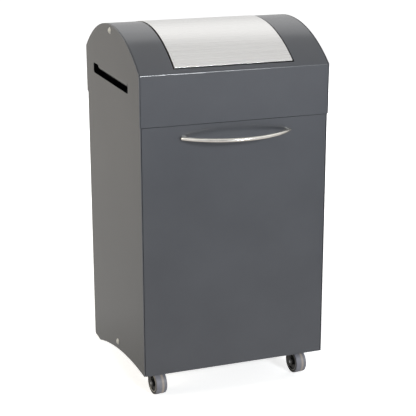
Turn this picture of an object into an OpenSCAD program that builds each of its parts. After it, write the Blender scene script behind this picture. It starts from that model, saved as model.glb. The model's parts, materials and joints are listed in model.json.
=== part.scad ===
// Self-extinguishing recycling bin: a sheet-steel cabinet under an arched hood with a swinging flap.
// The front tilts out with the inner container; the bin stands on two rear feet and two castors.
// Millimetres, +Z up, front towards -Y, right side +X. The origin is on the floor, mid bounding box.

/* [Cabinet] */
// Width over the two side panels
body_w = 400; // [360:5:460]
// Depth from the door face to the back panel
body_d = 405; // [390:5:450]
// Height of the hood's lower edge above the floor
cabinet_h = 588; // [580:1:640]
// Sheet thickness of the side panels, base plate and frames
panel_t = 1.5; // [1.2:0.1:2]
// Sheet thickness of the back panel
back_t = 1.2; // [1:0.1:1.5]
// Height of the door's lower edge above the floor
door_z = 62; // [60:0.5:64]
// Length of each rear foot along the depth
foot_len = 45; // [36:1:60]
// Width of the folded flanges on the panels and frames
flange_w = 15; // [12:1:18]
// Height of the door stop rails' lower end above the hinge
rail_up = 24; // [16:1:60]
// How far the cabinet stands up inside the hood
hood_overlap = 20; // [16:1:26]
// Height of the base plate's underside, which is the castors' overall height
base_z = 70; // [69:0.5:72]
// Sheet thickness of the base plate
base_t = 2; // [1.5:0.1:2.5]
// Depth of the base plate's turned-down edges
base_lip = 7; // [5:0.5:7.5]
// Height of the tie rod between the side panels
tie_rod_z = 60; // [57:0.5:62]
// Diameter of the tie rod
tie_rod_d = 10; // [8:1:12]

/* [Rear glides] */
// Thickness of the glide pad under each rear foot
glide_t = 1.5; // [1:0.5:3]
// Width of the glide pad
glide_w = 22; // [16:1:28]
// Diameter of the stud that holds the glide pad
glide_stud_d = 8; // [6:1:10]
// Length of that stud above the pad
glide_stud_len = 7; // [5:1:10]

/* [Hood] */
// Height of the straight band, from its lower edge to the corner of the arch
band_h = 103; // [90:1:120]
// Rise of the arch above that corner
arch_rise = 73; // [66:1:80]
// Sheet thickness of the hood
hood_t = 1.5; // [1.2:0.1:2]
// Outer radius of the bend between band and arch
bend_r = 5; // [3:0.5:8]
// Visible joint between the arched sheet and each end plate
hood_seam = 1.2; // [0.4:0.1:1.6]
// Diameter of the studs that fasten the hood to the cabinet
hood_stud_d = 5; // [4:0.5:6]
// Distance of those studs from the front and the back
hood_stud_inset = 60; // [45:5:90]
// Length of those studs inside the end plates
hood_stud_len = 12; // [10:1:18]
// Diameter of the nuts on those studs
hood_nut_d = 10; // [9:0.5:11]
// Height of the nuts
hood_nut_h = 4; // [3:0.5:5]

/* [Grip slots] */
// Length of each grip slot along the depth
slot_len = 267; // [220:1:280]
// Height of each grip slot
slot_h = 22; // [18:0.5:24]
// Distance from the door face to the slot's front end
slot_y = 77; // [65:1:90]
// Distance from the hood's lower edge up to the slot
slot_up = 53; // [44:1:56]
// Corner radius of the slot
slot_r = 5; // [2:0.5:6]
// Outer radius of the sheet's lip, rolled inwards along the slot's top
lip_r = 14; // [8:0.5:16]
// Angle through which that lip is rolled, in degrees
lip_a = 60; // [30:1:80]
// Length of the slot behind the lip's rear end
lip_rear = 40; // [10:1:80]

/* [Flap] */
// Width of the flap across the bin
flap_w = 250; // [220:5:280]
// Depth of the flap from its front edge to its rear edge
flap_d = 386; // [372:1:388]
// Gap between the flap and the hood all round
flap_gap = 3; // [3:0.5:5]
// How far the flap's face stands out of the hood's face
flap_proud = 1; // [0.5:0.1:1.2]
// Sheet thickness of the flap
flap_t = 1.5; // [1.2:0.1:1.8]
// Depth of the flap's folded edges
flap_lip = 10; // [9:0.5:12]
// Distance from the top of the hood down to the axle
axle_drop = 13; // [12.5:0.1:14]
// Diameter of the flap's axle
axle_d = 10; // [8:0.5:10.5]
// Radial running clearance of the axle in its bushes
axle_fit = 0.06; // [0.03:0.01:0.1]
// Swing of the flap to each side, in degrees
flap_swing = 40; // [20:1:40]
// Thickness of the hanger plates
hanger_t = 3; // [2:0.5:4]
// Radius of the hanger plates about the axle
hanger_r = 28; // [28:0.5:32]
// Outer diameter of the axle bushes
bush_d = 14; // [13.5:0.5:15]
// Thickness of the bush's flange
bush_flange_t = 1.5; // [1:0.5:2.5]
// Distance from the axle down to the middle of the counterweight
weight_drop = 49; // [48:1:54]
// Height of the counterweight
weight_h = 26; // [20:1:26]
// Thickness of the counterweight
weight_t = 14; // [10:1:16]
// Diameter of the counterweight screws
weight_screw_d = 5; // [4:0.5:6]
// Length of those screws in the counterweight
weight_screw_len = 12; // [8:1:20]
// Distance of the hanger rivets before and behind the axle
hanger_rivet_dy = 19; // [17:0.5:21]
// Distance from the flap's sheet down to the hanger rivets
hanger_rivet_down = 4.6; // [4.5:0.1:5]
// Radius from the axle to the stop pins
stop_pin_at = 25; // [23.5:0.1:25]
// Diameter of the stop pins
stop_pin_d = 5; // [4:0.5:5]
// Width of the fixed stop arm
stop_arm_w = 8; // [6:0.5:9]
// Thickness of the fixed stop arm and its collar
stop_arm_t = 8; // [6:0.5:10]
// Length of the stop arm below the axle
stop_arm_len = 31; // [29:0.5:32]
// Outer diameter of the stop arm's collar
collar_d = 22; // [18:1:26]
// Clearance between a stop and what meets it
stop_gap = 0.3; // [0.2:0.05:0.5]
// Outer diameter of the spacer tubes on the axle
spacer_d = 14; // [13:0.5:16]
// Side play between a spacer tube and its neighbours
side_play = 0.3; // [0.2:0.1:0.6]

/* [Cover caps] */
// Diameter of the cover caps
cap_d = 14; // [12:1:16]
// Height of the cover caps
cap_h = 3.5; // [3:0.1:4]
// Wall thickness of the cover caps
cap_t = 0.8; // [0.6:0.1:1]
// Diameter of the rod screws under the caps
rod_screw_d = 6; // [5:0.5:6]
// Head diameter of the rod screws
rod_head_d = 8; // [7:0.5:8]
// Head height of the rod screws
rod_head_h = 1.2; // [1:0.1:1.2]
// Length of the rod screws in the rods
rod_screw_len = 16; // [12:1:24]

/* [Door] */
// Gap between the door and each side panel
door_gap = 1.2; // [1:0.1:2.5]
// Gap between the door and the hood
door_top_gap = 1.2; // [1:0.1:5]
// Sheet thickness of the door
door_t = 1.5; // [1.2:0.1:1.8]
// Depth of the door's folded edges
door_fold = 20; // [18:0.5:20.5]
// Distance from the door face back to the hinge axis
hinge_in = 10; // [9.5:0.1:10.5]
// Distance from the door's lower edge up to the hinge axis
hinge_up = 9; // [9:0.1:9.5]
// Diameter of the hinge pins
hinge_pin_d = 6; // [5:0.5:7]
// Radial running clearance of the hinge pins in their bushes
hinge_fit = 0.05; // [0.03:0.01:0.1]
// Opening angle of the door, in degrees
door_open = 35; // [20:1:35]
// Outer diameter of the hinge bushes
hinge_bush_d = 10; // [9:0.5:11]
// Thickness of the hinge plates in the door
hinge_plate_t = 4; // [3:0.5:4.5]
// Height of the hinge plates in the door
hinge_plate_h = 36; // [30:1:50]
// Thickness of the hinge brackets' ears
ear_t = 5; // [4:0.5:6]
// Radius of the hinge brackets' ears about the pin
ear_r = 7; // [6:0.1:7.2]
// Length of the hinge brackets behind the pin
bracket_len = 30; // [24:1:30]
// Width of the hinge brackets' pad beside the ear
bracket_pad = 10; // [6:1:16]
// Thickness of that pad
bracket_pad_t = 3; // [2:0.5:4]
// Height of the stiffener behind the handle
stiffener_h = 44; // [30:1:46]
// Depth of the stiffener
stiffener_d = 14; // [10:1:18]
// Distance from the side panel's outer face in to the stiffener's end
stiffener_in = 35; // [28:1:60]

/* [Handle] */
// Distance between the ends of the bow handle
handle_w = 231; // [190:1:260]
// Bulge of the bow in front of its ends
handle_bow = 48; // [36:1:56]
// Diameter of the bar
bar_d = 8; // [7:0.5:10]
// Distance from the door's upper edge down to the bar
handle_down = 25.2; // [21:0.2:27]
// Distance from each end of the bar in to its foot
foot_in = 6; // [5:0.5:12]
// Diameter of the handle screws
handle_screw_d = 4; // [3:0.5:5]
// Length of the handle screws inside the bar's feet
handle_screw_len = 5; // [4:0.5:6]

/* [Door stay] */
// Radius of the quadrants about the hinge axis
stay_r = 250; // [230:5:280]
// Width of the quadrant strip
stay_w = 20; // [16:1:24]
// Thickness of the quadrants
stay_t = 3; // [2:0.5:4]
// Distance from the side panel in to the quadrant
stay_in = 22; // [21:0.5:23]
// Angle of the guides behind the vertical, in degrees
guide_at = 6.5; // [6:0.1:8]
// Length of the guides along the quadrant
guide_len = 18; // [14:1:20]
// Width of the hook at the quadrant's end beyond the strip
hook_extra = 7; // [5:0.5:9]
// Length of the hook along the quadrant
hook_len = 17; // [12:1:22]
// Length of the quadrant's front tab beyond the strip's width
stay_tab_extra = 8; // [4:1:14]
// Thickness of the guides' inner cheek
guide_cheek = 3; // [2:0.5:4]

/* [Catches and bumpers] */
// Width of the magnet catches
catch_w = 14; // [10:1:15]
// Height of the magnet catches
catch_h = 36; // [26:1:44]
// Thickness of the strike plates
strike_t = 3; // [2:0.5:4]
// Distance from the door's upper edge down to the catches
catch_down = 10; // [8:1:20]
// Diameter of the rubber bumpers
bumper_d = 10; // [8:0.5:10]
// Thickness of the rubber bumpers
bumper_t = 2.5; // [2:0.5:3.5]
// Height of the lower bumpers above the hinge
bumper_up = 60; // [30:1:160]
// Distance from the catches down to the upper bumpers
bumper_down = 20; // [8:1:80]

/* [Inner container] */
// Distance from the side panel's outer face in to the container's wall
bin_in = 35; // [32:1:50]
// Depth of the container over its walls
bin_d = 281; // [240:1:286]
// Height of the container
bin_h = 400; // [320:2:402]
// Sheet thickness of the container
bin_t = 1; // [0.8:0.1:1.5]
// Distance from the door face to the container's front wall
bin_y = 31; // [30:1:36]
// Diameter of the rolled rim
rim_d = 5; // [4:0.5:6]
// Height of the cradle's base above the base plate
cradle_up = 6.5; // [5.5:0.5:8]
// Height of the cradle's side walls
cradle_h = 60; // [30:1:120]
// Height of the low front part of those walls
cradle_step = 25; // [15:1:30]
// Side clearance of the container in the cradle
cradle_gap = 1; // [0.5:0.1:1.5]
// Distance from the container's front wall forward to the high part of the cradle's walls
cradle_step_gap = 8; // [4:1:14]
// Width of the container's grips
grip_w = 110; // [90:2:130]
// Height of the container's grips
grip_h = 34; // [30:1:50]
// Distance from the container's rim down to the grips
grip_down = 8; // [6:1:20]
// Diameter of the grip wire
grip_wire_d = 6; // [5:0.5:7]
// Gap between the deflector's end and the flange of the side panel
deflector_gap = 3.5; // [1.5:0.5:20]
// Sheet thickness of the deflector
deflector_t = 1.2; // [1:0.1:1.5]
// Distance of the deflector's lower edge behind the container's rim
deflector_back = 8; // [6:1:14]
// Height of the deflector's lower edge above the container's rim
deflector_over = 14; // [12:1:24]
// Height of the deflector's upright part against the back panel
deflector_upright = 23; // [10:1:40]

/* [Castors] */
// Wheel diameter
wheel_d = 50; // [46:1:50]
// Tyre width
tyre_w = 25; // [20:1:26]
// Shoulder radius of the tyre
tyre_shoulder = 2.8; // [2:0.1:2.8]
// Diameter of the wheel disc under the tyre
core_d = 44; // [42:1:44]
// Width of the wheel disc
core_w = 23; // [20:0.5:23]
// Diameter of the raised ring on each face of the wheel disc
wheel_ring_d = 37; // [34:0.5:38]
// Thickness of that ring
wheel_ring_w = 1.8; // [1:0.1:1.9]
// Diameter of the wheel's hub
hub_d = 16; // [14:1:20]
// Depth of the hollow between hub and ring
hub_hollow = 2; // [1:0.5:6]
// Diameter of the wheel axle
wheel_axle_d = 6; // [5:0.5:8]
// Radial running clearance of the wheel on its axle
wheel_fit = 0.06; // [0.03:0.01:0.1]
// Distance from the swivel axis forward to the wheel axle
castor_trail = 20; // [16:1:22]
// Side clearance between tyre and fork
fork_gap = 0.8; // [0.5:0.1:1.5]
// Thickness of the fork's arms over their round ends
fork_t = 2.6; // [2.2:0.1:4]
// Diameter of the fork's round ends about the axle
fork_end_d = 18; // [14:0.5:22]
// How far the round ends stand out of the arms
fork_end_t = 0.6; // [0.4:0.1:1.2]
// Top of the fork below the base plate
fork_drop = 7; // [6.6:0.1:7.5]
// Distance from the swivel axis forward to the crown's front edge
crown_front = 12; // [10:0.5:16]
// Distance from the swivel axis back to the crown's rear edge
crown_back = 15; // [12:0.5:18]
// Diameter of the kingpins
kingpin_d = 8; // [7:0.5:9]
// Distance from the fork's top down to the kingpin's head
kingpin_grip = 11; // [10:0.5:11]
// Height of the kingpin's head
kingpin_head_h = 2; // [1.5:0.1:2.4]
// Width of the kingpin's head beyond the pin
kingpin_head_extra = 5; // [4:0.5:5]
// Radial running clearance of the fork on its kingpin
kingpin_fit = 0.06; // [0.03:0.01:0.1]
// Width of the castor plates
castor_plate_w = 56; // [52:1:64]
// Depth of the castor plates
castor_plate_d = 46; // [42:1:52]
// Thickness of the castor plates
castor_plate_t = 2.5; // [2:0.5:3]
// Distance from the side panel in to the swivel axis
castor_in = 40; // [38:1:60]
// Distance from the door face back to the swivel axis
castor_back = 65; // [62:1:80]
// Turn of both forks from straight ahead, in degrees
castor_turn = 6; // [0:1:20]
// Diameter of the castor bolts
castor_bolt_d = 6; // [4:0.5:6]
// Distance from the edge of the castor plate in to the bolts
castor_bolt_in = 6; // [5:0.5:7]
// Diameter of the castor bolts' heads and nuts
castor_head_d = 10; // [9:0.5:10]
// Height of the castor bolts' nuts
castor_nut_h = 4; // [3:0.5:5]
// Diameter of the swivel bearing under each castor plate
race_d = 32; // [28:1:36]

/* [Fasteners] */
// Diameter of the rivets in the back panel and the hangers
rivet_d = 4; // [3:0.5:4.5]
// Diameter of the rivets' heads
rivet_head_d = 7; // [6:0.5:8]
// Height of the rivets' heads
rivet_head_h = 1.2; // [0.8:0.1:1.4]
// Distance from the back panel's lower edge up to the lowest rivets
rivet_up = 40; // [20:1:80]
// Distance from the hood down to the highest rivets
rivet_down = 30; // [15:1:80]
// Height of the screw heads on the handle, counterweight and castor bolts
screw_head_h = 2.5; // [2:0.1:3]
// Width of those screw heads beyond the thread
screw_head_extra = 4; // [3:0.5:4.5]

/* [Hidden] */
$fn = 96;

// Facets of the large arcs
arc_fn = 360;
// Overshoot of a cut past the face it leaves
cut = 1;

// Colours as the photograph shows them
paint = [0.29, 0.30, 0.32];
stainless = [0.84, 0.84, 0.83];
galvanised = [0.66, 0.68, 0.69];
zinc = [0.74, 0.75, 0.76];
black = [0.09, 0.09, 0.09];
light_grey = [0.76, 0.76, 0.75];
tyre_grey = [0.42, 0.42, 0.44];

// Hood outline, in depth and height
arch_z = cabinet_h + band_h;
hood_d = body_d + 2 * hood_t;
arch_half = hood_d / 2;
arch_r = (pow(arch_half, 2) + pow(arch_rise, 2)) / (2 * arch_rise);
mid_y = body_d / 2;
arch_cz = arch_z + arch_rise - arch_r;
hood_top = arch_z + arch_rise;
bend_in = arch_half - bend_r;
bend_z = arch_cz + sqrt(pow(arch_r - bend_r, 2) - pow(bend_in, 2));
bend_a = asin(bend_in / (arch_r - bend_r));

// The bar's front and the hood's back set the middle of the bounding box
handle_out = bar_d / 2 - 0.5 + handle_bow + bar_d / 2;
front_y = (handle_out - body_d - hood_t) / 2;

// Cabinet
side_x = body_w / 2;
inner_x = side_x - panel_t;
back_in_y = body_d - back_t;
rail_y = door_fold + bumper_t;
skirt_len = body_d - foot_len;
skirt_drop = door_z - glide_t;
skirt_r = (pow(skirt_len, 2) + pow(skirt_drop, 2)) / (2 * skirt_drop);
cabinet_top = cabinet_h + hood_overlap;
frame_z = cabinet_h + 1;
hinge_z = door_z + hinge_up;
door_corner_r = sqrt(pow(hinge_in, 2) + pow(hinge_up, 2));
base_front = hinge_in + door_corner_r + 1.5;

// Fasteners of the cabinet and hood
hood_stud_y = [hood_stud_inset, body_d - hood_stud_inset];
hood_stud_z = cabinet_h + hood_overlap / 2;
back_rivet_x = inner_x - flange_w / 2;
rivet_z = [door_z + rivet_up, (door_z + cabinet_h) / 2, cabinet_h - rivet_down];

// Flap
flap_r = arch_r + flap_proud;
flap_a = asin(flap_d / 2 / flap_r);
aperture_a = flap_a + flap_gap / arch_r * 180 / PI;
axle_z = hood_top - axle_drop;
flap_x = flap_w / 2;
hanger_x = flap_x - flap_t;
bush_out_x = flap_x + 1;
bush_in_x = hanger_x - hanger_t - bush_flange_t;
collar_x = bush_in_x - side_play;
stop_pin_a = flap_swing + asin((stop_arm_w / 2 + stop_pin_d / 2 + stop_gap) / stop_pin_at);
stop_pins_at = [for (side = [-1, 1])
  [mid_y + side * stop_pin_at * sin(stop_pin_a), axle_z - stop_pin_at * cos(stop_pin_a)]];
weight_screw_z = [axle_z - weight_drop - weight_h / 4, axle_z - weight_drop + weight_h / 4];
hanger_rivet_z = hood_top + flap_proud - flap_t - hanger_rivet_down;

// Ends of the flap's axle and of the tie rod, where screws and caps go: [outer face, height]
rod_ends = [[side_x + hood_t, axle_z], [side_x, tie_rod_z]];

// Door
door_x = inner_x - door_gap;
door_top = cabinet_h - door_top_gap;
door_in_x = door_x - door_t;
hinge_plate_x = door_in_x - hinge_plate_t;
ear_x = hinge_plate_x - 0.5;
handle_z = door_top - handle_down;
bow_r = (pow(handle_w / 2, 2) + pow(handle_bow, 2)) / (2 * handle_bow);
bow_a = asin(handle_w / 2 / bow_r);
bow_end_y = bar_d / 2 - 0.5;
bow_cy = bow_r - handle_bow - bow_end_y;
foot_x = handle_w / 2 - foot_in;
foot_y = bow_cy - sqrt(pow(bow_r, 2) - pow(foot_x, 2));
stay_x = side_x - stay_in;
guide_half_a = asin(guide_len / 2 / stay_r);
hook_a = guide_at + guide_half_a + door_open + asin(stop_gap / stay_r);
catch_x = door_in_x;
catch_top = door_top - catch_down;

// Inner container and cradle
cradle_z = base_z + base_t + cradle_up;
bin_z = cradle_z + panel_t;
bin_x = side_x - bin_in;
bin_back_y = bin_y + bin_d;
bin_top = bin_z + bin_h;
cradle_x = bin_x + cradle_gap;

// Castors
castor_x = side_x - castor_in;
wheel_r = wheel_d / 2;
fork_in_x = tyre_w / 2 + fork_gap;
fork_x = fork_in_x + fork_t;
fork_top = base_z - fork_drop;
wheel_room_d = wheel_d + 3 * fork_gap;
kingpin_head_z = fork_top - kingpin_grip;
bolt_dx = castor_plate_w / 2 - castor_bolt_in;
bolt_dy = castor_plate_d / 2 - castor_bolt_in;
castor_bolts_at = [for (dx = [-bolt_dx, bolt_dx]) for (dy = [-bolt_dy, bolt_dy])
  [castor_x + dx, castor_back + dy]];

// Shared helpers

// Moves from the cabinet's own frame, with y = 0 at the door face, to the part's frame
module in_place() {
  translate([0, front_y, 0]) children();
}

// Right-hand piece as drawn for side 1, mirrored for side -1
module on_side(side) {
  if (side < 0) {
    mirror([1, 0, 0]) children();
  } else {
    children();
  }
}

// Both sides of the bin
module both_sides() {
  on_side(1) children();
  on_side(-1) children();
}

// Box between two corners
module box(low, high) {
  translate(low) cube(high - low);
}

// Outline drawn in depth (x) and height (y), given thickness from x0 to x1 across the bin
module across(x0, x1) {
  translate([x0, 0, 0]) rotate([90, 0, 90]) linear_extrude(x1 - x0) children();
}

// Round bar across the bin
module bar_x(x0, x1, y, z, d) {
  translate([x0, y, z]) rotate([0, 90, 0]) cylinder(h = x1 - x0, d = d);
}

// Round bar along the depth
module bar_y(y0, y1, x, z, d) {
  translate([x, y0, z]) rotate([-90, 0, 0]) cylinder(h = y1 - y0, d = d);
}

// Round bar upwards
module bar_z(z0, z1, x, y, d) {
  translate([x, y, z0]) cylinder(h = z1 - z0, d = d);
}

// Wedge about the arch's centre, from angle a0 to a1 off the vertical
module arch_wedge(a0, a1) {
  reach = 2 * arch_r;
  polygon([
    [mid_y, arch_cz],
    [mid_y + reach * sin(a0), arch_cz + reach * cos(a0)],
    [mid_y + reach * sin((a0 + a1) / 2), arch_cz + reach * cos((a0 + a1) / 2)],
    [mid_y + reach * sin(a1), arch_cz + reach * cos(a1)]
  ]);
}

// Ring about the arch's centre
module arch_ring(r_out, depth) {
  translate([mid_y, arch_cz]) difference() {
    circle(r = r_out, $fn = arc_fn);
    circle(r = r_out - depth, $fn = arc_fn);
  }
}

// Sharp corner outside the bend between band and arch
module bend_corner(side) {
  reach = 3 * bend_r;
  polygon([
    [mid_y + side * bend_in, bend_z],
    [mid_y + side * (bend_in + reach), bend_z],
    [mid_y + side * (bend_in + reach), bend_z + reach],
    [mid_y + side * (bend_in + reach * sin(bend_a)), bend_z + reach * cos(bend_a)]
  ]);
}

// Hood outline in depth and height, drawn in by inset, down to height z0
module hood_outline(inset, z0) {
  difference() {
    intersection() {
      translate([mid_y, arch_cz]) circle(r = arch_r - inset, $fn = arc_fn);
      translate([mid_y - arch_half + inset, z0]) square([hood_d - 2 * inset, hood_top - z0]);
    }
    bend_corner(1);
    bend_corner(-1);
  }
  for (side = [-1, 1]) {
    translate([mid_y + side * bend_in, bend_z]) circle(r = bend_r - inset);
  }
}

// Slot outline with round corners, drawn in depth and height
module slot_outline() {
  z0 = cabinet_h + slot_up;
  translate([slot_y + slot_r, z0]) square([slot_len - 2 * slot_r, slot_h]);
  translate([slot_y, z0 + slot_r]) square([slot_len, slot_h - 2 * slot_r]);
  for (y = [slot_y + slot_r, slot_y + slot_len - slot_r]) {
    for (z = [z0 + slot_r, z0 + slot_h - slot_r]) {
      translate([y, z]) circle(r = slot_r);
    }
  }
}

// Lip that rolls inwards and down from the slot's top edge, drawn for the right side
module grip_lip() {
  y0 = slot_y + slot_r;
  y1 = slot_y + slot_len - lip_rear;
  reach = 2 * lip_r;
  translate([side_x + hood_t - lip_r, y1, cabinet_h + slot_up + slot_h]) {
    rotate([90, 0, 0]) linear_extrude(y1 - y0) intersection() {
      difference() {
        circle(r = lip_r);
        circle(r = lip_r - hood_t);
      }
      polygon([[0, 0], [reach, 0], [reach * cos(lip_a), -reach * sin(lip_a)]]);
    }
  }
}

module hood_stud_holes() {
  for (y = hood_stud_y) {
    bar_x(0, side_x + cut, y, hood_stud_z, hood_stud_d);
  }
}

// Cabinet

module side_panel(side) {
  color(paint) in_place() on_side(side) {
    difference() {
      across(inner_x, side_x) difference() {
        translate([0, glide_t]) square([body_d, cabinet_top - glide_t]);
        intersection() {
          translate([0, door_z - skirt_r]) circle(r = skirt_r, $fn = arc_fn);
          translate([-cut, -cut]) square([skirt_len + cut, door_z + 2 * cut]);
        }
      }
      bar_x(inner_x - cut, side_x + cut, mid_y, tie_rod_z, rod_screw_d);
      hood_stud_holes();
    }
    difference() {
      union() {
        box([inner_x - flange_w, back_in_y - panel_t, glide_t], [inner_x, back_in_y, cabinet_top]);
        box([inner_x - glide_w - 2, skirt_len, glide_t], [inner_x, back_in_y, glide_t + panel_t]);
      }
      for (z = rivet_z) {
        bar_y(back_in_y - panel_t - cut, body_d, back_rivet_x, z, rivet_d);
      }
      bar_z(0, glide_t + panel_t + cut, inner_x - glide_w / 2, body_d - foot_len / 2, glide_stud_d);
    }
  }
}

module back_panel() {
  color(paint) in_place() difference() {
    box([-inner_x, back_in_y, door_z], [inner_x, body_d, cabinet_top]);
    both_sides() for (z = rivet_z) {
      bar_y(back_in_y - cut, body_d + cut, back_rivet_x, z, rivet_d);
    }
  }
}

module back_rivets() {
  color(zinc) in_place() both_sides() for (z = rivet_z) {
    bar_y(back_in_y - panel_t - rivet_head_h, body_d, back_rivet_x, z, rivet_d);
    bar_y(body_d, body_d + rivet_head_h, back_rivet_x, z, rivet_head_d);
    bar_y(back_in_y - panel_t - rivet_head_h, back_in_y - panel_t, back_rivet_x, z, rivet_head_d - 1);
  }
}

module base_plate() {
  base_rear = back_in_y - panel_t;
  color(paint) in_place() difference() {
    box([-inner_x, base_front, base_z - base_lip], [inner_x, base_rear, base_z + base_t]);
    box([-inner_x + base_t, base_front + base_t, base_z - base_lip - cut],
        [inner_x - base_t, base_rear - base_t, base_z]);
    both_sides() for (p = castor_bolts_at) {
      bar_z(base_z - cut, base_z + base_t + cut, p[0], p[1], castor_bolt_d);
    }
    bar_x(-inner_x - cut, inner_x + cut, mid_y, tie_rod_z, tie_rod_d + 2 * stop_gap);
  }
}

module door_stop_rails() {
  rail_z0 = hinge_z + rail_up;
  rail_x = inner_x - flange_w;
  color(paint) in_place() both_sides() {
    box([rail_x, rail_y, rail_z0], [inner_x, rail_y + panel_t, frame_z]);
    box([inner_x - panel_t, rail_y, rail_z0], [inner_x, rail_y + flange_w, frame_z]);
  }
}

module top_frame() {
  rear = back_in_y - panel_t;
  color(paint) in_place() difference() {
    box([-inner_x, 0, frame_z], [inner_x, rear, cabinet_top]);
    box([-inner_x + panel_t, panel_t, frame_z + panel_t],
        [inner_x - panel_t, rear - panel_t, cabinet_top + cut]);
    box([-inner_x + flange_w, flange_w, frame_z - cut], [inner_x - flange_w, rear - flange_w, cabinet_top]);
    both_sides() hood_stud_holes();
  }
}

module tie_rod() {
  color(zinc) in_place() difference() {
    bar_x(-inner_x, inner_x, mid_y, tie_rod_z, tie_rod_d);
    both_sides() bar_x(inner_x - rod_screw_len, inner_x + cut, mid_y, tie_rod_z, rod_screw_d);
  }
}

module rear_glides() {
  stud_y = body_d - foot_len / 2;
  color(black) in_place() both_sides() {
    box([inner_x - glide_w, skirt_len + 1, 0], [inner_x - 0.5, body_d - back_t - 1, glide_t]);
    bar_z(0, glide_t + glide_stud_len, inner_x - glide_w / 2, stud_y, glide_stud_d);
  }
}

module deflector() {
  top_z = frame_z - 2;
  fold_z = top_z - deflector_upright;
  low = [bin_back_y + rim_d / 2 + deflector_back, bin_top + deflector_over];
  back = back_in_y;
  deflector_x = inner_x - flange_w - deflector_gap;
  run = back - low[0];
  rise = fold_z - low[1];
  slope = sqrt(pow(run, 2) + pow(rise, 2));
  nx = deflector_t * rise / slope;
  nz = deflector_t * run / slope;
  color(galvanised) in_place() across(-deflector_x, deflector_x) polygon([
    [back - deflector_t, top_z],
    [back, top_z],
    [back, fold_z],
    [low[0] + nx, low[1] - nz],
    low,
    [back - deflector_t, fold_z + deflector_t / 2]
  ]);
}

// Hood

module hood_shell() {
  half = side_x - hood_seam;
  hole_x = flap_x + flap_gap;
  color(paint) in_place() difference() {
    across(-half, half) difference() {
      hood_outline(0, cabinet_h);
      hood_outline(hood_t, cabinet_h - cut);
    }
    across(-hole_x, hole_x) intersection() {
      arch_ring(arch_r + cut, 4 * hood_t);
      arch_wedge(-aperture_a, aperture_a);
    }
  }
}

module hood_side(side) {
  outer_x = side_x + hood_t;
  color(paint) in_place() on_side(side) {
    difference() {
      union() {
        across(side_x, outer_x) hood_outline(0, cabinet_h);
        across(side_x - flange_w, side_x) difference() {
          hood_outline(hood_t, cabinet_top + 2);
          hood_outline(2 * hood_t, cabinet_top);
        }
      }
      across(side_x - cut, outer_x + cut) slot_outline();
      bar_x(side_x - cut, outer_x + cut, mid_y, axle_z, rod_screw_d);
    }
    grip_lip();
    for (y = hood_stud_y) {
      bar_x(side_x - hood_stud_len, side_x, y, hood_stud_z, hood_stud_d);
    }
  }
}

module hood_nuts() {
  nut_x = inner_x - panel_t;
  color(zinc) in_place() both_sides() for (y = hood_stud_y) {
    difference() {
      bar_x(nut_x - hood_nut_h, nut_x, y, hood_stud_z, hood_nut_d);
      bar_x(nut_x - hood_nut_h - cut, nut_x + cut, y, hood_stud_z, hood_stud_d);
    }
  }
}

module rod_screws() {
  color(zinc) in_place() both_sides() for (end = rod_ends) {
    bar_x(inner_x - rod_screw_len + 1, end[0], mid_y, end[1], rod_screw_d);
    bar_x(end[0], end[0] + rod_head_h, mid_y, end[1], rod_head_d);
  }
}

// Domed cap: half section of its wall, with the axis upright
module cap_section() {
  dome_r = (pow(cap_d / 2, 2) + pow(cap_h, 2)) / (2 * cap_h);
  intersection() {
    translate([0, cap_h - dome_r]) difference() {
      circle(r = dome_r);
      circle(r = dome_r - cap_t);
    }
    square([cap_d / 2, cap_h]);
  }
}

module cover_caps() {
  color(light_grey) in_place() both_sides() for (end = rod_ends) {
    translate([end[0], mid_y, end[1]]) rotate([0, 90, 0]) rotate_extrude() cap_section();
  }
}

// Flap

module flap_axle() {
  color(zinc) in_place() difference() {
    bar_x(-side_x, side_x, mid_y, axle_z, axle_d);
    both_sides() bar_x(inner_x - rod_screw_len, side_x + cut, mid_y, axle_z, rod_screw_d);
  }
}

module axle_spacers() {
  color(zinc) in_place() both_sides() difference() {
    bar_x(bush_out_x + side_play, side_x, mid_y, axle_z, spacer_d);
    bar_x(bush_out_x, side_x + cut, mid_y, axle_z, axle_d);
  }
}

module stop_collars() {
  color(zinc) in_place() both_sides() difference() {
    union() {
      bar_x(collar_x - stop_arm_t, collar_x, mid_y, axle_z, collar_d);
      box([collar_x - stop_arm_t, mid_y - stop_arm_w / 2, axle_z - stop_arm_len],
          [collar_x, mid_y + stop_arm_w / 2, axle_z]);
    }
    bar_x(collar_x - stop_arm_t - cut, collar_x + cut, mid_y, axle_z, axle_d);
  }
}

module flap_panel() {
  edge_a = flap_t / flap_r * 180 / PI;
  color(stainless) in_place() difference() {
    union() {
      across(-flap_x, flap_x) intersection() {
        arch_ring(flap_r, flap_t);
        arch_wedge(-flap_a, flap_a);
      }
      both_sides() across(flap_x - flap_t, flap_x) intersection() {
        arch_ring(flap_r, flap_lip);
        arch_wedge(-flap_a, flap_a);
      }
      for (a = [-flap_a, flap_a - edge_a]) {
        across(-flap_x, flap_x) intersection() {
          arch_ring(flap_r, flap_lip);
          arch_wedge(a, a + edge_a);
        }
      }
    }
    bar_x(-flap_x - cut, flap_x + cut, mid_y, axle_z, bush_d);
    both_sides() hanger_rivet_holes();
  }
}

module hanger_rivet_holes() {
  for (dy = [-hanger_rivet_dy, hanger_rivet_dy]) {
    bar_x(hanger_x - hanger_t - cut, flap_x + cut, mid_y + dy, hanger_rivet_z, rivet_d);
  }
}

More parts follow.
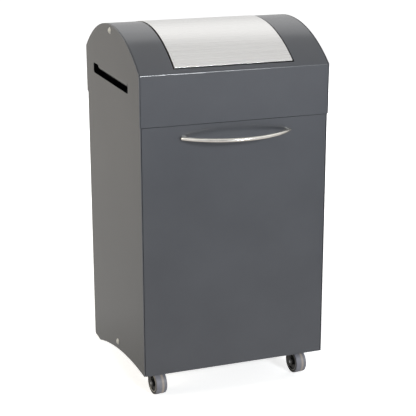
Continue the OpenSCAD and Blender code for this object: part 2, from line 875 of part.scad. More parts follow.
module flap_hangers() {
  stem_w = weight_t + 6;
  stem_z = axle_z - weight_drop - weight_h / 2;
  color(zinc) in_place() both_sides() difference() {
    across(hanger_x - hanger_t, hanger_x) intersection() {
      translate([mid_y, arch_cz]) circle(r = flap_r - flap_t, $fn = arc_fn);
      union() {
        translate([mid_y, axle_z]) circle(r = hanger_r);
        translate([mid_y - stem_w / 2, stem_z]) square([stem_w, axle_z - stem_z]);
      }
    }
    bar_x(hanger_x - hanger_t - cut, hanger_x + cut, mid_y, axle_z, bush_d);
    hanger_rivet_holes();
    for (z = weight_screw_z) {
      bar_x(hanger_x - hanger_t - cut, hanger_x + cut, mid_y, z, weight_screw_d);
    }
    for (p = stop_pins_at) {
      bar_x(hanger_x - hanger_t - cut, hanger_x + cut, p[0], p[1], stop_pin_d);
    }
  }
}

module hanger_rivets() {
  color(zinc) in_place() both_sides() for (dy = [-hanger_rivet_dy, hanger_rivet_dy]) {
    bar_x(hanger_x - hanger_t - 1, flap_x + 1, mid_y + dy, hanger_rivet_z, rivet_d);
    bar_x(hanger_x - hanger_t - 1, hanger_x - hanger_t, mid_y + dy, hanger_rivet_z, rivet_d + 2);
    bar_x(flap_x, flap_x + 1, mid_y + dy, hanger_rivet_z, rivet_d + 2);
  }
}

module flap_bushes() {
  color(light_grey) in_place() both_sides() difference() {
    union() {
      bar_x(bush_in_x, bush_out_x, mid_y, axle_z, bush_d);
      bar_x(bush_in_x, bush_in_x + bush_flange_t, mid_y, axle_z, bush_d + 4);
    }
    bar_x(bush_in_x - cut, bush_out_x + cut, mid_y, axle_z, axle_d + 2 * axle_fit);
  }
}

module flap_counterweight() {
  end_x = hanger_x - hanger_t;
  color(zinc) in_place() difference() {
    box([-end_x, mid_y - weight_t / 2, axle_z - weight_drop - weight_h / 2],
        [end_x, mid_y + weight_t / 2, axle_z - weight_drop + weight_h / 2]);
    both_sides() for (z = weight_screw_z) {
      bar_x(end_x - weight_screw_len - 2, end_x + cut, mid_y, z, weight_screw_d);
    }
  }
}

module counterweight_screws() {
  color(zinc) in_place() both_sides() for (z = weight_screw_z) {
    bar_x(hanger_x - hanger_t - weight_screw_len, hanger_x, mid_y, z, weight_screw_d);
    bar_x(hanger_x, hanger_x + screw_head_h, mid_y, z, weight_screw_d + screw_head_extra);
  }
}

module flap_stop_pins() {
  color(black) in_place() both_sides() for (p = stop_pins_at) {
    bar_x(collar_x - stop_arm_t + 1, hanger_x, p[0], p[1], stop_pin_d);
  }
}

// Door

// Heights and half distance of the handle's two screws are those of its feet
module handle_holes(y0, y1) {
  both_sides() bar_y(y0, y1, foot_x, handle_z, handle_screw_d);
}

module door_panel() {
  color(paint) in_place() difference() {
    box([-door_x, 0, door_z], [door_x, door_fold, door_top]);
    box([-door_in_x, door_t, door_z + door_t], [door_in_x, door_fold + cut, door_top - door_t]);
    both_sides() bar_x(door_in_x - cut, door_x + cut, hinge_in, hinge_z, hinge_bush_d);
    handle_holes(-cut, door_t + cut);
  }
}

module door_stiffener() {
  z0 = door_top - door_t - stiffener_h;
  half = side_x - stiffener_in;
  color(galvanised) in_place() difference() {
    box([-half, door_t, z0], [half, door_t + stiffener_d, z0 + stiffener_h]);
    box([-half - cut, door_t + panel_t, z0 + panel_t],
        [half + cut, door_t + stiffener_d + cut, z0 + stiffener_h - panel_t]);
    handle_holes(0, door_t + stiffener_d);
  }
}

module handle_bar() {
  color(stainless) in_place() difference() {
    union() {
      translate([0, bow_cy, handle_z]) rotate([0, 0, -90 - bow_a]) {
        rotate_extrude(angle = 2 * bow_a) translate([bow_r, 0]) circle(d = bar_d);
      }
      both_sides() bar_y(foot_y, 0, foot_x, handle_z, bar_d);
    }
    handle_holes(-handle_screw_len - cut, cut);
  }
}

module handle_screws() {
  head_y = door_t + panel_t;
  color(zinc) in_place() both_sides() {
    bar_y(-handle_screw_len, head_y, foot_x, handle_z, handle_screw_d);
    bar_y(head_y, head_y + screw_head_h, foot_x, handle_z, handle_screw_d + screw_head_extra);
  }
}

module hinge_plates() {
  color(zinc) in_place() both_sides() difference() {
    box([hinge_plate_x, door_t, door_z + door_t], [door_in_x, door_fold, door_z + door_t + hinge_plate_h]);
    bar_x(hinge_plate_x - cut, door_in_x + cut, hinge_in, hinge_z, hinge_bush_d);
  }
}

module hinge_bushes() {
  color(light_grey) in_place() both_sides() difference() {
    bar_x(hinge_plate_x, door_x, hinge_in, hinge_z, hinge_bush_d);
    bar_x(hinge_plate_x - cut, door_x + cut, hinge_in, hinge_z, hinge_pin_d + 2 * hinge_fit);
  }
}

module hinge_brackets() {
  base_top = base_z + base_t;
  arm_end = hinge_in + bracket_len;
  color(zinc) in_place() both_sides() difference() {
    union() {
      across(ear_x - ear_t, ear_x) {
        translate([hinge_in, hinge_z]) circle(r = ear_r);
        translate([hinge_in, base_top]) square([bracket_len, ear_r + hinge_up - 4]);
      }
      box([ear_x - ear_t - bracket_pad, base_front + 1, base_top],
          [ear_x, arm_end, base_top + bracket_pad_t]);
    }
    bar_x(ear_x - ear_t - cut, ear_x + cut, hinge_in, hinge_z, hinge_pin_d);
  }
}

module hinge_pins() {
  color(zinc) in_place() both_sides() bar_x(ear_x - ear_t, door_x, hinge_in, hinge_z, hinge_pin_d);
}

// Outline of a ring sector about the hinge, from angle a0 to a1 behind the vertical
module hinge_sector(r_in, r_out, a0, a1) {
  reach = 2 * r_out;
  mid_a = (a0 + a1) / 2;
  translate([hinge_in, hinge_z]) intersection() {
    difference() {
      circle(r = r_out, $fn = arc_fn);
      circle(r = r_in, $fn = arc_fn);
    }
    polygon([
      [0, 0],
      [reach * sin(a0), reach * cos(a0)],
      [reach * sin(mid_a), reach * cos(mid_a)],
      [reach * sin(a1), reach * cos(a1)]
    ]);
  }
}

module stay_quadrants() {
  r_in = stay_r - stay_w / 2;
  r_out = stay_r + stay_w / 2;
  start_a = -asin((hinge_in - door_t - 1) / stay_r);
  hook_len_a = asin(hook_len / stay_r);
  tab_z = hinge_z + stay_r;
  tab_h = stay_w + stay_tab_extra;
  color(zinc) in_place() both_sides() {
    across(stay_x - stay_t, stay_x) difference() {
      hinge_sector(r_in, r_out + hook_extra, start_a, hook_a + hook_len_a);
      hinge_sector(r_out, r_out + 2 * hook_extra, start_a - 1, hook_a);
    }
    box([stay_x - stay_t / 2, door_t, tab_z - tab_h / 2],
        [door_in_x - 1, door_t + stay_t, tab_z + tab_h / 2]);
  }
}

module stay_guides() {
  r_in = stay_r - stay_w / 2 - 2;
  r_out = stay_r + stay_w / 2 + hook_extra;
  bridge = stay_r + stay_w / 2 + 2;
  slot_x0 = stay_x - stay_t - stop_gap;
  slot_x1 = stay_x + stop_gap;
  guide_x1 = inner_x - panel_t;
  a0 = guide_at - guide_half_a;
  a1 = guide_at + guide_half_a;
  color(black) in_place() both_sides() {
    across(slot_x0 - guide_cheek, slot_x0) hinge_sector(r_in, r_out, a0, a1);
    across(slot_x0, slot_x1) hinge_sector(bridge, r_out, a0, a1);
    across(slot_x1, guide_x1) hinge_sector(r_in, r_out, a0, a1);
  }
}

module strike_plates() {
  color(zinc) in_place() both_sides() {
    box([catch_x - catch_w, door_t, catch_top - catch_h], [catch_x, door_t + strike_t, catch_top]);
  }
}

module magnet_catches() {
  y0 = door_t + strike_t + stop_gap;
  color(black) in_place() both_sides() {
    box([catch_x - catch_w + 1, y0, catch_top - catch_h + 1], [catch_x - 1, rail_y, catch_top - 1]);
  }
}

module door_bumpers() {
  bumper_x = inner_x - stop_gap - bumper_d / 2;
  bumper_z = [hinge_z + bumper_up, catch_top - catch_h - bumper_down];
  color(black) in_place() both_sides() for (z = bumper_z) {
    bar_y(door_fold + stop_gap, rail_y, bumper_x, z, bumper_d);
  }
}

// Inner container

module bin_cradle() {
  outer = cradle_x + panel_t;
  rear = bin_back_y + cradle_gap;
  color(galvanised) in_place() {
    difference() {
      box([-outer, door_t, cradle_z], [outer, rear + panel_t, bin_z + cradle_h]);
      box([-cradle_x, 2 * door_t, bin_z], [cradle_x, rear, bin_z + cradle_h + cut]);
      box([-outer - cut, -cut, bin_z + cradle_step],
          [outer + cut, bin_y - cradle_step_gap, bin_z + cradle_h + cut]);
    }
    box([-outer, door_t, bin_z], [outer, 2 * door_t, bin_z + 2 * cradle_h]);
  }
}

module inner_container() {
  wall_x = bin_x - bin_t;
  rim_x = bin_x + rim_d / 2 - bin_t;
  rim_y0 = bin_y - rim_d / 2 + bin_t;
  rim_y1 = bin_back_y + rim_d / 2 - bin_t;
  rim_z = bin_top - rim_d / 2;
  color(galvanised) in_place() {
    difference() {
      box([-bin_x, bin_y, bin_z], [bin_x, bin_back_y, bin_top - rim_d / 2]);
      box([-wall_x, bin_y + bin_t, bin_z + bin_t], [wall_x, bin_back_y - bin_t, bin_top + cut]);
    }
    for (y = [rim_y0, rim_y1]) {
      bar_x(-rim_x, rim_x, y, rim_z, rim_d);
    }
    for (x = [-rim_x, rim_x]) {
      bar_y(rim_y0, rim_y1, x, rim_z, rim_d);
      translate([x, rim_y0, rim_z]) sphere(d = rim_d);
      translate([x, rim_y1, rim_z]) sphere(d = rim_d);
    }
  }
}

// Fixed wire grips inside the short walls
module container_grips() {
  wire_x = bin_x - bin_t - 1.5 * grip_wire_d;
  top_z = bin_top - rim_d - grip_down;
  y_mid = (bin_y + bin_back_y) / 2;
  color(zinc) in_place() both_sides() {
    bar_y(y_mid - grip_w / 2, y_mid + grip_w / 2, wire_x, top_z, grip_wire_d);
    for (y = [y_mid - grip_w / 2 + grip_wire_d / 2, y_mid + grip_w / 2 - grip_wire_d / 2]) {
      bar_z(top_z - grip_h, top_z, wire_x, y, grip_wire_d);
      bar_x(wire_x, bin_x - bin_t, y, top_z - grip_h, grip_wire_d);
      translate([wire_x, y, top_z - grip_h]) sphere(d = grip_wire_d);
    }
  }
}

// Castors

module castor_plates() {
  race_top = base_z - castor_plate_t;
  color(zinc) in_place() both_sides() difference() {
    union() {
      box([castor_x - castor_plate_w / 2, castor_back - castor_plate_d / 2, race_top],
          [castor_x + castor_plate_w / 2, castor_back + castor_plate_d / 2, base_z]);
      bar_z(fork_top + stop_gap, race_top, castor_x, castor_back, race_d);
    }
    bar_z(fork_top, base_z + cut, castor_x, castor_back, kingpin_d);
    for (p = castor_bolts_at) {
      bar_z(race_top - cut, base_z + cut, p[0], p[1], castor_bolt_d);
    }
  }
}

module castor_bolts() {
  plate_low = base_z - castor_plate_t;
  base_top = base_z + base_t;
  color(zinc) in_place() both_sides() for (p = castor_bolts_at) {
    bar_z(plate_low - screw_head_h, plate_low, p[0], p[1], castor_head_d);
    bar_z(plate_low, base_top + castor_nut_h, p[0], p[1], castor_bolt_d);
    bar_z(base_top, base_top + castor_nut_h, p[0], p[1], castor_head_d);
  }
}

module castor_kingpins() {
  head_d = kingpin_d + kingpin_head_extra;
  color(zinc) in_place() both_sides() {
    bar_z(kingpin_head_z, base_z, castor_x, castor_back, kingpin_d);
    bar_z(kingpin_head_z - kingpin_head_h, kingpin_head_z, castor_x, castor_back, head_d);
  }
}

// Turned castor frame: origin on the swivel axis at the floor, wheel towards -Y
module castor_frame(side) {
  in_place() translate([side * castor_x, castor_back, 0]) rotate([0, 0, castor_turn]) children();
}

// Side view of the fork's crown and arms in depth and height, about the swivel axis
module fork_outline() {
  end_r = fork_end_d / 2 - 1;
  crown_z = wheel_r + wheel_room_d / 2;
  polygon([
    [-castor_trail - end_r, wheel_r],
    [-crown_front, crown_z - 4],
    [-crown_front, fork_top],
    [crown_back, fork_top],
    [crown_back, crown_z - 4],
    [-castor_trail + end_r, wheel_r]
  ]);
}

module castor_fork(side) {
  arm_x = fork_x - fork_end_t;
  color(black) castor_frame(side) difference() {
    union() {
      across(-arm_x, arm_x) fork_outline();
      bar_x(-fork_x, fork_x, -castor_trail, wheel_r, fork_end_d);
    }
    bar_x(-fork_in_x, fork_in_x, -castor_trail, wheel_r, wheel_room_d);
    bar_x(-fork_x - cut, fork_x + cut, -castor_trail, wheel_r, wheel_axle_d);
    bar_z(0, fork_top + cut, 0, 0, kingpin_d + 2 * kingpin_fit);
    bar_z(0, kingpin_head_z + stop_gap, 0, 0, kingpin_d + kingpin_head_extra + 1);
  }
}

module castor_axle(side) {
  color(zinc) castor_frame(side) bar_x(-fork_x, fork_x, -castor_trail, wheel_r, wheel_axle_d);
}

module wheel_core(side) {
  face_x = core_w / 2;
  hub_x = fork_in_x - fork_gap / 2;
  color(black) castor_frame(side) difference() {
    union() {
      bar_x(-face_x, face_x, -castor_trail, wheel_r, core_d);
      bar_x(-hub_x, hub_x, -castor_trail, wheel_r, hub_d);
      for (x = [-face_x, face_x]) {
        translate([x, -castor_trail, wheel_r]) rotate([0, 90, 0]) {
          rotate_extrude() translate([wheel_ring_d / 2, 0]) circle(d = wheel_ring_w, $fn = 32);
        }
      }
    }
    both_sides() difference() {
      bar_x(face_x - hub_hollow, face_x + cut, -castor_trail, wheel_r, wheel_ring_d - 2 * wheel_ring_w);
      bar_x(face_x - hub_hollow - cut, face_x + 2 * cut, -castor_trail, wheel_r, hub_d);
    }
    bar_x(-hub_x - cut, hub_x + cut, -castor_trail, wheel_r, wheel_axle_d + 2 * wheel_fit);
  }
}

// Half section of the tyre: radius and width
module tyre_section() {
  r0 = core_d / 2;
  half = tyre_w / 2;
  translate([r0, -half + tyre_shoulder]) square([wheel_r - r0, tyre_w - 2 * tyre_shoulder]);
  translate([r0, -half]) square([wheel_r - r0 - tyre_shoulder, tyre_w]);
  for (z = [-half + tyre_shoulder, half - tyre_shoulder]) {
    intersection() {
      translate([wheel_r - tyre_shoulder, z]) circle(r = tyre_shoulder);
      translate([r0, -half]) square([wheel_r - r0, tyre_w]);
    }
  }
}

module wheel_tyre(side) {
  color(tyre_grey) castor_frame(side) translate([0, -castor_trail, wheel_r]) rotate([0, 90, 0]) {
    rotate_extrude() tyre_section();
  }
}

side_panel(-1);  // side_panel_left
side_panel(1);  // side_panel_right
back_panel();
base_plate();
door_stop_rails();
top_frame();
hood_shell();
hood_side(-1);  // hood_side_left
hood_side(1);  // hood_side_right
hood_nuts();
cover_caps();
tie_rod();
rod_screws();
back_rivets();
rear_glides();
deflector();
hinge_brackets();
hinge_pins();
stay_guides();
magnet_catches();
door_bumpers();
flap_axle();
stop_collars();
axle_spacers();
flap_panel();
flap_hangers();
hanger_rivets();
flap_bushes();
flap_counterweight();
counterweight_screws();
flap_stop_pins();
door_panel();
door_stiffener();
handle_bar();
handle_screws();
hinge_plates();
hinge_bushes();
stay_quadrants();
strike_plates();
bin_cradle();
inner_container();
container_grips();
castor_plates();
castor_bolts();
castor_kingpins();
castor_fork(-1);  // castor_fork_left
castor_axle(-1);  // castor_axle_left
wheel_core(-1);  // wheel_core_left
wheel_tyre(-1);  // wheel_tyre_left
castor_fork(1);  // castor_fork_right
castor_axle(1);  // castor_axle_right
wheel_core(1);  // wheel_core_right
wheel_tyre(1);  // wheel_tyre_right
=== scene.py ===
"""Looks of the self-extinguishing recycling bin: finishes, rounded folds and edges, and the studio."""
import json
import math

import bmesh
import bpy
from mathutils import Matrix, Vector


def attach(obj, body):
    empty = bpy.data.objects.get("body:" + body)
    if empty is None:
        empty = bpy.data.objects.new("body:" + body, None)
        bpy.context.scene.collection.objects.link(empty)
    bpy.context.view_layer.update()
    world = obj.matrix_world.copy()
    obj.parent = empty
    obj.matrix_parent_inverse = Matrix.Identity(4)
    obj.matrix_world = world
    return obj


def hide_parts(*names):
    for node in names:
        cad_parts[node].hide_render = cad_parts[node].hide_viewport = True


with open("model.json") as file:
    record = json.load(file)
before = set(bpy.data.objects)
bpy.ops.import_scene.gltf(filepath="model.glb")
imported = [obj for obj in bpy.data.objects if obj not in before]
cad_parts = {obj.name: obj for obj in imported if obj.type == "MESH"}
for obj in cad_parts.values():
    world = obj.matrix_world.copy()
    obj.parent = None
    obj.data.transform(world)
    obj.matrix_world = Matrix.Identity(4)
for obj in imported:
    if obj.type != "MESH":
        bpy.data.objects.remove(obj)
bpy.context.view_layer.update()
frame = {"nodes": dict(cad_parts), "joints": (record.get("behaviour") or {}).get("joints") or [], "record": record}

MM = 0.001
RECORD = frame["record"]
BODY_OF = {node: body for body, nodes in RECORD["behaviour"]["bodies"].items() for node in nodes}
SLOT_OF = {part["node"]: part["material_slot"] for part in RECORD["subparts"]}
JOINTS = {joint["name"]: joint for joint in frame["joints"]}
WHITE = (1, 1, 1)


# Materials

# Places of the Mix node's colour sockets, which share their names with its other sockets
MIX_A = 6
MIX_B = 7
MIX_RESULT = 2
# How far a rounded normal agrees with the true one, on an edge and on a flat face, and its samples
EDGE_AGREES = 0.86
FLAT_AGREES = 0.99
EDGE_SAMPLES = 4

# The painted highlight on the tread, a warm stripe: its middle's distance from the wheel's middle, half its width,
# and half the width over which it keeps its full colour
TREAD_HIGHLIGHT_AT = 2.5 * MM
TREAD_HIGHLIGHT_W = 3.4 * MM
TREAD_HIGHLIGHT_FULL_W = 0.3 * TREAD_HIGHLIGHT_W


def linear(color):
    """A colour as it is seen, 0 to 255, in linear light."""
    parts = [part / 255 for part in color]
    return [part / 12.92 if part <= 0.04045 else ((part + 0.055) / 1.055) ** 2.4 for part in parts]


class Nodes:
    """A node tree with a few short calls for what the materials and the studio share."""

    def __init__(self, tree):
        self.tree = tree

    def add(self, kind, **settings):
        node = self.tree.nodes.new(kind)
        for key, value in settings.items():
            setattr(node, key, value)
        return node

    def join(self, source, target):
        self.tree.links.new(source, target)

    def give(self, value, target):
        """Sets a socket to a number, or links another socket to it."""
        if isinstance(value, bpy.types.NodeSocket):
            self.join(value, target)
        else:
            target.default_value = value

    def spread(self, value, low, high, start=0.3, end=0.7):
        """Maps start to end onto low to high, each of which is a number or a socket."""
        node = self.add("ShaderNodeMapRange")
        node.inputs["From Min"].default_value = start
        node.inputs["From Max"].default_value = end
        self.give(low, node.inputs["To Min"])
        self.give(high, node.inputs["To Max"])
        self.join(value, node.inputs["Value"])
        return node.outputs["Result"]

    def between(self, fac, a, b):
        """A number that runs from a to b as fac runs from 0 to 1."""
        return self.spread(fac, a, b, start=0, end=1)

    def axis(self, vector, name):
        """One coordinate of a vector."""
        axes = self.add("ShaderNodeSeparateXYZ")
        self.join(vector, axes.inputs[0])
        return axes.outputs[name]

    def rays(self, *kinds):
        """1 for rays of any of these kinds and 0 for the rest."""
        path = self.add("ShaderNodeLightPath")
        value = path.outputs[kinds[0]]
        for kind in kinds[1:]:
            larger = self.add("ShaderNodeMath", operation="MAXIMUM")
            self.join(value, larger.inputs[0])
            self.join(path.outputs[kind], larger.inputs[1])
            value = larger.outputs[0]
        return value

    def gloss_rays(self):
        return self.rays("Is Glossy Ray", "Is Transmission Ray")

    def ramp(self, value, colors):
        """A colour that follows a 0 to 1 value through pairs of place and colour."""
        node = self.add("ShaderNodeValToRGB")
        self.join(value, node.inputs["Fac"])
        stops = node.color_ramp.elements
        # New stops start halfway, and all are placed below
        while len(stops) < len(colors):
            stops.new(0.5)
        for stop, (place, color) in zip(stops, colors):
            stop.position = place
            stop.color = (*color, 1)
        return node.outputs["Color"]

    def mixed(self, fac, a, b):
        """One shader where fac is 0 and another where it is 1."""
        node = self.add("ShaderNodeMixShader")
        for socket, source in zip(node.inputs, (fac, a, b)):
            self.join(source, socket)
        return node.outputs[0]


class Shader(Nodes):
    """A Principled material: its mean colour and roughness, and calls for its procedural finish."""

    def __init__(self, name, color, roughness, metallic=0.0):
        self.material = bpy.data.materials.new(name)
        self.material.use_nodes = True
        super().__init__(self.material.node_tree)
        self.bsdf = self.tree.nodes["Principled BSDF"]
        self.bsdf.inputs["Base Color"].default_value = (*linear(color), 1)
        self.bsdf.inputs["Roughness"].default_value = roughness
        self.bsdf.inputs["Metallic"].default_value = metallic
        self.place = self.add("ShaderNodeTexCoord").outputs["Object"]

    def stretched(self, along, across_scale, along_scale):
        """Object coordinates for grain that runs along one axis, with its scales across and along."""
        scale = [across_scale] * 3
        scale[along] = along_scale
        mapping = self.add("ShaderNodeMapping")
        mapping.inputs["Scale"].default_value = scale
        self.join(self.place, mapping.inputs["Vector"])
        return mapping.outputs["Vector"]

    def warped(self, scale, reach):
        """Object coordinates that noise pushes by up to this reach."""
        noise = self.add("ShaderNodeTexNoise")
        noise.inputs["Scale"].default_value = scale
        self.join(self.place, noise.inputs["Vector"])
        push = self.add("ShaderNodeVectorMath", operation="SCALE")
        self.join(noise.outputs["Color"], push.inputs[0])
        push.inputs["Scale"].default_value = reach
        moved = self.add("ShaderNodeVectorMath", operation="ADD")
        self.join(self.place, moved.inputs[0])
        self.join(push.outputs["Vector"], moved.inputs[1])
        return moved.outputs["Vector"]

    def noise(self, scale, detail=2.0, rough=0.5, vector=None):
        """Cloudy 0 to 1 pattern with about this many cells in a metre."""
        node = self.add("ShaderNodeTexNoise")
        node.inputs["Scale"].default_value = scale
        node.inputs["Detail"].default_value = detail
        node.inputs["Roughness"].default_value = rough
        self.join(vector or self.place, node.inputs["Vector"])
        return node.outputs["Fac"]

    def blend(self, fac, a, b):
        """Mixes two colours, each a socket or a colour as it is seen."""
        node = self.add("ShaderNodeMix", data_type="RGBA")
        self.join(fac, node.inputs["Factor"])
        for socket, color in ((node.inputs[MIX_A], a), (node.inputs[MIX_B], b)):
            if isinstance(color, bpy.types.NodeSocket):
                self.join(color, socket)
            else:
                socket.default_value = (*linear(color), 1)
        return node.outputs[MIX_RESULT]

    def bump(self, height, strength, distance, before=None):
        """A normal tilted by a height pattern, on top of an earlier bump where there is one."""
        node = self.add("ShaderNodeBump")
        node.inputs["Strength"].default_value = strength
        node.inputs["Distance"].default_value = distance
        self.join(height, node.inputs["Height"])
        if before:
            self.join(before, node.inputs["Normal"])
        return node.outputs["Normal"]

    def edges(self, radius):
        """1 along edges and 0 on flat faces, from a rounded normal set against the true one."""
        bevel = self.add("ShaderNodeBevel", samples=EDGE_SAMPLES)
        bevel.inputs["Radius"].default_value = radius
        geometry = self.add("ShaderNodeNewGeometry")
        dot = self.add("ShaderNodeVectorMath", operation="DOT_PRODUCT")
        self.join(bevel.outputs["Normal"], dot.inputs[0])
        self.join(geometry.outputs["Normal"], dot.inputs[1])
        return self.spread(dot.outputs["Value"], 1, 0, EDGE_AGREES, FLAT_AGREES)

    def marked(self, name):
        """A value that the mesh carries at its points."""
        return self.add("ShaderNodeAttribute", attribute_name=name).outputs["Fac"]

    def color(self, socket):
        self.join(socket, self.bsdf.inputs["Base Color"])

    def rough(self, socket):
        self.join(socket, self.bsdf.inputs["Roughness"])

    def normal(self, socket):
        self.join(socket, self.bsdf.inputs["Normal"])


def powder_coat():
    """Satin anthracite powder coat: fine orange peel, faint mottling, and a painted highlight along the edges."""
    s = Shader("powder_coat", (73, 75, 80), 0.2)
    body = s.blend(s.spread(s.noise(7, detail=3), 0, 1), (71, 73, 78), (76, 78, 83))
    speck = s.spread(s.noise(1500, detail=1), 0, 0.2, start=0.55, end=0.75)
    body = s.blend(speck, body, (94, 96, 100))
    # Lighter colour along the edges: a painted highlight
    s.color(s.blend(s.edges(0.9 * MM), body, (98, 100, 105)))
    s.rough(s.spread(s.noise(14, detail=1), 0.19, 0.215))
    sheet = s.bump(s.noise(3.2, detail=1), strength=0.25, distance=1.2 * MM)
    s.normal(s.bump(s.noise(650, detail=1), strength=0.05, distance=0.12 * MM, before=sheet))
    s.bsdf.inputs["IOR"].default_value = 1.55
    return s.material


def brushed_stainless():
    """Brushed stainless steel with its grain along the bin's width."""
    color = (223, 222, 220)
    along = 0
    s = Shader("brushed_stainless", color, 0.3, metallic=1.0)
    grain = s.noise(1, detail=3, rough=0.6, vector=s.stretched(along, across_scale=900, along_scale=4))
    band = s.noise(1, detail=2, rough=0.5, vector=s.stretched(along, across_scale=60, along_scale=0.8))
    dark = [part - 5.4 for part in color]
    light = [part + 3.6 for part in color]
    tone = s.blend(s.spread(grain, 0, 1, start=0.35, end=0.65), dark, light)
    s.color(s.blend(s.spread(band, 0, 0.35, start=0.35, end=0.65), tone, color))
    s.rough(s.spread(grain, 0.25, 0.35, start=0.35, end=0.65))
    s.normal(s.bump(grain, strength=0.12, distance=0.05 * MM))
    # The highlight spreads across the grain
    grain_way = s.add("ShaderNodeCombineXYZ")
    grain_way.inputs[along].default_value = 1
    s.join(grain_way.outputs[0], s.bsdf.inputs["Tangent"])
    s.bsdf.inputs["Anisotropic"].default_value = 0.5
    s.bsdf.inputs["Anisotropic Rotation"].default_value = 0.25
    return s.material


def bar_steel():
    """Round stainless bar, ground smooth and faintly cloudy."""
    s = Shader("bar_steel", (222, 219, 212), 0.2, metallic=1.0)
    s.color(s.blend(s.spread(s.noise(40), 0, 1), (217, 214, 207), (227, 224, 217)))
    s.rough(s.spread(s.noise(50), 0.22, 0.25))
    s.normal(s.bump(s.noise(1400), strength=0.02, distance=0.05 * MM))
    return s.material


def galvanised():
    """Galvanised sheet with its spangle of flat zinc crystals."""
    s = Shader("galvanised", (172, 176, 180), 0.42, metallic=1.0)
    crystals = s.add("ShaderNodeTexVoronoi", feature="F1")
    crystals.inputs["Scale"].default_value = 95
    s.join(s.warped(scale=120, reach=6 * MM), crystals.inputs["Vector"])
    parts = s.add("ShaderNodeSeparateColor")
    s.join(crystals.outputs["Color"], parts.inputs["Color"])
    flake = parts.outputs["Red"]
    s.color(s.blend(flake, (164, 168, 172), (182, 185, 188)))
    s.rough(s.between(flake, 0.42, 0.5))
    s.normal(s.bump(s.noise(300), strength=0.1, distance=0.1 * MM))
    return s.material


def zinc_plated():
    """Bright zinc plating with a faint bluish cast and handling marks."""
    s = Shader("zinc_plated", (190, 193, 198), 0.3, metallic=1.0)
    s.color(s.blend(s.spread(s.noise(90, detail=3), 0, 1), (176, 180, 187), (204, 206, 208)))
    s.rough(s.spread(s.noise(260, detail=3), 0.24, 0.4))
    s.normal(s.bump(s.noise(900), strength=0.1, distance=0.05 * MM))
    return s.material


def moulded(name, dark, light, roughness, grain=900, strength=0.2):
    """Moulded plastic with an eroded grain and slightly lighter edges."""
    s = Shader(name, light, roughness)
    body = s.blend(s.spread(s.noise(45), 0, 1), dark, light)
    rubbed = [min(255, part * 1.12 + 5) for part in light]
    s.color(s.blend(s.edges(0.5 * MM), body, rubbed))
    s.rough(s.spread(s.noise(grain / 2), roughness - 0.05, roughness + 0.07))
    s.normal(s.bump(s.noise(grain), strength, distance=0.08 * MM))
    return s.material


def tyre_rubber():
    """Grey castor rubber: a painted highlight as a warmer stripe on the tread, and dark side walls, as its mesh
    marks them.
    """
    s = Shader("tyre_rubber", (124, 124, 131), 0.5)
    body = s.blend(s.spread(s.noise(60, detail=4, rough=0.6), 0, 1), (118, 118, 126), (131, 131, 138))
    offset = s.add("ShaderNodeMath", operation="SUBTRACT")
    s.join(s.marked("across"), offset.inputs[0])
    offset.inputs[1].default_value = TREAD_HIGHLIGHT_AT
    distance = s.add("ShaderNodeMath", operation="ABSOLUTE")
    s.join(offset.outputs[0], distance.inputs[0])
    tread_highlight = s.spread(distance.outputs[0], 1, 0, TREAD_HIGHLIGHT_FULL_W, TREAD_HIGHLIGHT_W)
    # A warm, lighter stripe round the tread: a painted highlight
    body = s.blend(tread_highlight, body, (166, 156, 145))
    s.color(s.blend(s.marked("wall"), body, (38, 38, 38)))
    s.rough(s.spread(s.noise(200), 0.44, 0.58))
    s.normal(s.bump(s.noise(500, detail=3), strength=0.25, distance=0.12 * MM))
    return s.material


def wheel_disc():
    """Black moulded wheel disc with a painted highlight on its raised ring, which its mesh marks."""
    s = Shader("wheel_disc", (34, 35, 34), 0.42)
    body = s.blend(s.spread(s.noise(45), 0, 1), (28, 29, 28), (40, 41, 40))
    # Light grey on the raised ring's top: a painted highlight
    s.color(s.blend(s.marked("ring"), body, (168, 167, 163)))
    s.rough(s.spread(s.noise(450), 0.36, 0.48))
    s.normal(s.bump(s.noise(900), strength=0.2, distance=0.08 * MM))
    return s.material


def soft_rubber():
    """Black rubber with a dusty bloom."""
    s = Shader("soft_rubber", (34, 34, 35), 0.7)
    s.color(s.blend(s.spread(s.noise(70, detail=4), 0, 1), (26, 26, 27), (46, 46, 47)))
    s.rough(s.spread(s.noise(300), 0.6, 0.8))
    s.normal(s.bump(s.noise(800), strength=0.25, distance=0.1 * MM))
    return s.material


MATERIALS = {
    "paint": powder_coat(),
    "stainless": brushed_stainless(),
    "galvanised": galvanised(),
    "zinc": zinc_plated(),
    "cap_plastic": moulded("cap_plastic", (186, 188, 189), (197, 199, 200), 0.32, grain=600, strength=0.06),
    "wheel_plastic": wheel_disc(),
    "black_plastic": moulded("black_plastic", (30, 31, 30), (40, 41, 39), 0.42),
    "tyre": tyre_rubber(),
    "rubber": soft_rubber(),
}

# Nodes whose finish differs from the rest of their slot
OWN_FINISH = {"handle_bar": bar_steel()}


# Mesh helpers

# Radius on the sheets' folds, and on their cut edges, which are the faces narrower than THIN
FOLD_R = 1.2 * MM
CUT_R = 0.3 * MM
THIN = 2.2 * MM
# Edges that turn by more than this are rounded, in so many steps
SHARP = math.radians(32)
ROUND_STEPS = 3
# Pull of large faces on the shading; 50 is neutral
LARGE_FACE_PULL = 80
# Points of a solid nearer than WELD are one, and faces that turn by less than FLAT are one face
WELD = 0.003 * MM
FLAT = math.radians(0.25)


def finished(piece, node):
    """Gives a piece its material, slot and body, and has it stand for its node."""
    slot = SLOT_OF[node]
    piece.data.materials.clear()
    piece.data.materials.append(OWN_FINISH.get(node, MATERIALS[slot]))
    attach(piece, BODY_OF[node])
    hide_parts(node)


def object_from(bm, name):
    mesh = bpy.data.meshes.new(name)
    bm.to_mesh(mesh)
    bm.free()
    piece = bpy.data.objects.new(name, mesh)
    bpy.context.scene.collection.objects.link(piece)
    return piece


def strip_width(face):
    """Mean width of a long face: sheet edges come out at the sheet's thickness."""
    perimeter = face.calc_perimeter()
    return 2 * face.calc_area() / perimeter if perimeter else 0


